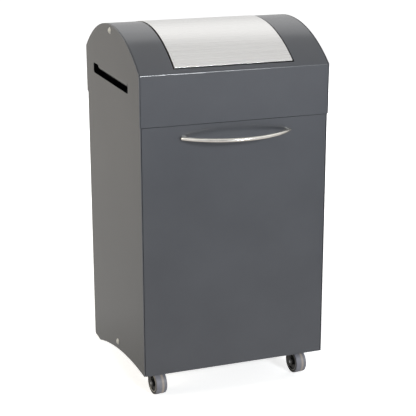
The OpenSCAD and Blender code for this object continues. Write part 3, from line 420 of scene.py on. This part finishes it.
def soften(piece, fold_r, cut_r):
    """Rounds folds by fold_r and cut edges by cut_r, and smooths what is round."""
    mesh = piece.data
    bm = bmesh.new()
    bm.from_mesh(mesh)
    weights = bm.edges.layers.float.new("bevel_weight_edge")
    widths = {face: strip_width(face) for face in bm.faces}
    for face in bm.faces:
        face.smooth = True
    for edge in bm.edges:
        edge.smooth = True
        if len(edge.link_faces) != 2 or edge.calc_face_angle(0) < SHARP:
            continue
        if not edge.is_convex:
            edge.smooth = False
            continue
        thin = min(widths[face] for face in edge.link_faces) < THIN
        edge[weights] = cut_r / fold_r if thin else 1
    bm.to_mesh(mesh)
    bm.free()
    bevel = piece.modifiers.new("round", "BEVEL")
    bevel.limit_method = "WEIGHT"
    bevel.width = fold_r
    bevel.segments = ROUND_STEPS
    bevel.use_clamp_overlap = True
    bevel.miter_outer = "MITER_ARC"
    normals = piece.modifiers.new("normals", "WEIGHTED_NORMAL")
    normals.keep_sharp = True
    normals.weight = LARGE_FACE_PULL
    return piece


def cad_copy(node):
    """The node's own solid as clean faces, for rounding."""
    bm = bmesh.new()
    bm.from_mesh(frame["nodes"][node].data)
    bmesh.ops.remove_doubles(bm, verts=bm.verts, dist=WELD)
    bmesh.ops.dissolve_limit(bm, angle_limit=FLAT, verts=bm.verts, edges=bm.edges)
    piece = object_from(bm, node + "_skin")
    own_normals = piece.data.attributes.get("custom_normal")
    if own_normals:
        piece.data.attributes.remove(own_normals)
    return piece


def skin(node, fold_r, cut_r):
    finished(soften(cad_copy(node), fold_r, cut_r), node)


def mark(piece, name, value_of):
    """Stores a value at each point of a piece's mesh for its material."""
    values = piece.data.attributes.new(name, "FLOAT", "POINT")
    for vertex, value in zip(piece.data.vertices, values.data):
        value.value = value_of(vertex.co)


# Pieces

SIDES = ("left", "right")
CASTOR_NODES = [part + side for part in ("castor_fork_", "wheel_core_", "wheel_tyre_") for side in SIDES]

# Edge radius in millimetres of the nodes that aren't folded like the case
SMALL_R = {
    "back_rivets": 0.5, "hanger_rivets": 0.4, "hood_nuts": 0.5, "rod_screws": 0.3, "handle_screws": 0.5,
    "counterweight_screws": 0.5, "castor_bolts": 0.5, "castor_kingpins": 0.5, "hinge_pins": 0.4,
    "hinge_bushes": 0.3, "flap_bushes": 0.3, "flap_stop_pins": 0.4, "stop_collars": 0.5,
    "flap_axle": 0.5, "axle_spacers": 0.4, "tie_rod": 0.5, "cover_caps": 0.2, "rear_glides": 0.5,
    "door_bumpers": 0.5, "magnet_catches": 0.8, "strike_plates": 0.5, "hinge_plates": 0.6,
    "hinge_brackets": 0.6, "stay_guides": 0.8, "stay_quadrants": 0.5, "flap_hangers": 0.5,
    "flap_counterweight": 0.8, "castor_plates": 0.5, "container_grips": 0.5,
    "castor_axle_left": 0.4, "castor_axle_right": 0.4, "handle_bar": 0.7,
}

# Radii on the folds and on the thin edges of a castor's fork, disc and tyre
FORK_R = (0.9 * MM, 0.5 * MM)
DISC_R = (0.5 * MM, 0.3 * MM)
TYRE_R = (0.4 * MM, 0.3 * MM)
# The raised ring on the wheel disc: its radii, and the height of it that is marked for its painted highlight
RING_IN = 17.3 * MM
RING_OUT = 19.7 * MM
RING_HEIGHT = 0.85 * MM
# Depth below a tyre's outer faces that counts as its side walls
WALL_DEPTH = 0.2 * MM


def plain_skins():
    """Skins for all nodes but the castors' forks and wheels."""
    for node in frame["nodes"]:
        if node not in CASTOR_NODES:
            fold_r = SMALL_R[node] * MM if node in SMALL_R else FOLD_R
            skin(node, fold_r, min(fold_r, CUT_R))


def castor_parts(side):
    """Fork, disc and tyre of one castor, with the ring's painted highlight, the side walls and the tread's painted
    highlight marked.
    """
    roll = JOINTS["wheel_roll_" + side]
    centre, axle = Vector(roll["pos_m"]), Vector(roll["axis"]).normalized()

    def across(point):
        return (point - centre).dot(axle)

    def radius(point):
        return ((point - centre) - across(point) * axle).length

    skin("castor_fork_" + side, *FORK_R)

    disc = cad_copy("wheel_core_" + side)
    ring_top = max(abs(across(vertex.co)) for vertex in disc.data.vertices if radius(vertex.co) > RING_IN)

    def on_ring_highlight(point):
        return float(abs(across(point)) > ring_top - RING_HEIGHT and RING_IN < radius(point) < RING_OUT)

    # Marks the ring's top for its painted highlight
    mark(disc, "ring", on_ring_highlight)
    finished(soften(disc, *DISC_R), "wheel_core_" + side)

    tyre = cad_copy("wheel_tyre_" + side)
    half_width = max(abs(across(vertex.co)) for vertex in tyre.data.vertices)

    def on_wall(point):
        return float(abs(across(point)) > half_width - WALL_DEPTH)

    mark(tyre, "across", across)
    mark(tyre, "wall", on_wall)
    finished(soften(tyre, *TYRE_R), "wheel_tyre_" + side)


plain_skins()
for castor_side in SIDES:
    castor_parts(castor_side)


# Studio

# The camera stands front left of the bin and above it; its angles are in degrees
CAMERA_AT = (-0.8341, -2.3185, 1.1020)
CAMERA_YAW = 19.86
CAMERA_PITCH = 16.03
CAMERA_ROLL = 0.09
# Nearest and farthest distance that it sees
CLIP_NEAR = 0.05
CLIP_FAR = 60
# Focal length and width of the photo in its pixels, and the lens shift as a share of the frame
FOCAL_PX = 1177.9
FRAME_PX = 416
SHIFT = -0.04
# Sensor width that the focal length in millimetres goes with
SENSOR_MM = 36

WARM_LIGHT = (1.0, 0.91, 0.74)
COOL_LIGHT = (0.94, 0.975, 1.0)
# Points on the bin that the lamps face
MIDDLE = (0, 0, 0.5)
REAR_MIDDLE = (0, 0, 0.4)
FOOT = (0, 0, 0)
FRONT = (0, -0.2, 0.35)
FRONT_TOP = (0, -0.2, 0.5)
# Name, place, point faced, size in metres, watts, colour, and whether gloss shows the lamp
LAMPS = [
    ("key_left", (-2.8, 0.2, 1.35), MIDDLE, (1.8, 1.8), 62, WARM_LIGHT, True),
    ("softbox_front", (1.3, -4.6, 2.2), FRONT, (0.75, 0.62), 135, COOL_LIGHT, True),
    ("strip_front", (2.0, -4.6, 2.2), FRONT, (0.65, 0.62), 10, COOL_LIGHT, True),
    ("low_fill", (0.2, -1.45, 0.12), FRONT_TOP, (1.4, 0.2), 4, COOL_LIGHT, False),
    ("top_fill", (0, 0, 3.2), FOOT, (1.8, 1.8), 16, WHITE, False),
    ("rear_fill", (2.2, 2.6, 1.5), REAR_MIDDLE, (1.8, 1.8), 70, WHITE, False),
]

# Brightness of the studio in gloss, by the sine of the height above the horizon
SWEEP = [(0.0, 0.66), (0.3, 0.87), (0.5, 1.27), (0.735, 1.4), (0.755, 0.7), (1.0, 0.95)]
# Its dim front end: where it starts and where it is full, as a direction's share along Y, and its level
FRONT_END = (-0.55, -0.8)
FRONT_LEVEL = 0.35
# Level of the light from all round, and of the background as the camera sees it
AMBIENT = 0.13
BACKGROUND = 1.0

# The floor's half width, its squares along each side, and its roughness
FLOOR_SIZE = 12
FLOOR_CELLS = 8
FLOOR_ROUGH = 0.9
# The floor's grey as it is seen, and for the light that it throws back on the bin
FLOOR_COLOR = 0.82
FLOOR_BOUNCE = 0.40
# How far it is lifted towards white for the camera, near the bin and far away, and the distances
# at which near ends and far begins
FLOOR_LIFT = (0.7, 0.9)
FLOOR_NEAR_FAR = (0.6, 2.0)
# Cards on the floor that only gloss sees: how far they reach from the bin's middle, and their
# colours from front to rear by the place along Y
CARD_REACH = 3.0
CARDS = [
    (-2.75, (1.38, 1.4, 1.48)),
    (-2.45, (0.32, 0.35, 0.42)),
    (-1.9, (0.66, 0.66, 0.68)),
    (-0.3, (0.76, 0.73, 0.71)),
    # Dim under the bin: a painted shadow of the bin on the floor, as gloss sees it
    (0.0, (0.34, 0.33, 0.31)),
    (0.35, (0.50, 0.49, 0.47)),
    (2.0, (0.54, 0.52, 0.49)),
]


def make_camera():
    data = bpy.data.cameras.new("camera")
    camera = bpy.data.objects.new("camera", data)
    bpy.context.scene.collection.objects.link(camera)
    data.sensor_width = SENSOR_MM
    data.lens = FOCAL_PX / FRAME_PX * SENSOR_MM
    data.shift_y = SHIFT
    data.clip_start = CLIP_NEAR
    data.clip_end = CLIP_FAR
    camera.location = CAMERA_AT
    tilt = Matrix.Rotation(math.radians(90 - CAMERA_PITCH), 4, "X")
    turn = Matrix.Rotation(math.radians(-CAMERA_YAW), 4, "Z")
    roll = Matrix.Rotation(math.radians(-CAMERA_ROLL), 4, "Z")
    camera.rotation_euler = (turn @ tilt @ roll).to_euler()
    bpy.context.scene.camera = camera


def area_light(name, at, aim, size, power, color, in_gloss):
    data = bpy.data.lights.new(name, "AREA")
    data.shape = "RECTANGLE"
    data.size, data.size_y = size
    data.energy = power
    data.color = color
    light = bpy.data.objects.new(name, data)
    bpy.context.scene.collection.objects.link(light)
    light.location = at
    light.rotation_euler = (Vector(aim) - Vector(at)).to_track_quat("-Z", "Y").to_euler()
    light.visible_glossy = in_gloss


def make_world():
    """White for the camera, a dim light from all round, and for gloss a sweep with a dim front end."""
    world = bpy.data.worlds.new("studio")
    world.use_nodes = True
    bpy.context.scene.world = world
    s = Nodes(world.node_tree)
    way = s.add("ShaderNodeTexCoord").outputs["Generated"]
    sweep = s.ramp(s.axis(way, "Z"), [(height, (level, level, level)) for height, level in SWEEP])
    in_front = s.spread(s.axis(way, "Y"), 0, 1, *FRONT_END)
    level = s.between(s.gloss_rays(), AMBIENT, s.between(in_front, sweep, FRONT_LEVEL))
    background = s.tree.nodes["Background"]
    background.inputs["Color"].default_value = (*WHITE, 1)
    s.join(s.between(s.rays("Is Camera Ray"), level, BACKGROUND), background.inputs["Strength"])


def floor_material():
    """Near-white floor, with cards on it that only gloss sees, dim under the bin as a painted shadow, and
    see-through from below.
    """
    s = Shader("floor", (255, 255, 255), FLOOR_ROUGH)
    s.color(s.between(s.rays("Is Diffuse Ray"), FLOOR_COLOR, FLOOR_BOUNCE))
    reach = s.add("ShaderNodeVectorMath", operation="LENGTH")
    s.join(s.place, reach.inputs[0])
    lift = s.spread(reach.outputs["Value"], *FLOOR_LIFT, *FLOOR_NEAR_FAR)
    s.bsdf.inputs["Emission Color"].default_value = (*WHITE, 1)
    s.join(s.between(s.rays("Is Camera Ray"), 0.0, lift), s.bsdf.inputs["Emission Strength"])
    cards = s.add("ShaderNodeEmission")
    depth = s.spread(s.axis(s.place, "Y"), 0, 1, -CARD_REACH, CARD_REACH)
    places = [((y + CARD_REACH) / (2 * CARD_REACH), color) for y, color in CARDS]
    s.join(s.ramp(depth, places), cards.inputs["Color"])
    above = s.mixed(s.gloss_rays(), s.bsdf.outputs[0], cards.outputs[0])
    clear = s.add("ShaderNodeBsdfTransparent")
    side = s.add("ShaderNodeNewGeometry")
    surface = s.mixed(side.outputs["Backfacing"], above, clear.outputs[0])
    s.join(surface, s.tree.nodes["Material Output"].inputs["Surface"])
    return s.material


def make_floor():
    bm = bmesh.new()
    bmesh.ops.create_grid(bm, x_segments=FLOOR_CELLS, y_segments=FLOOR_CELLS, size=FLOOR_SIZE)
    floor = object_from(bm, "floor")
    floor.data.materials.append(floor_material())


make_camera()
for lamp in LAMPS:
    area_light(*lamp)
make_world()
make_floor()
bpy.context.scene.view_settings.view_transform = "Standard"
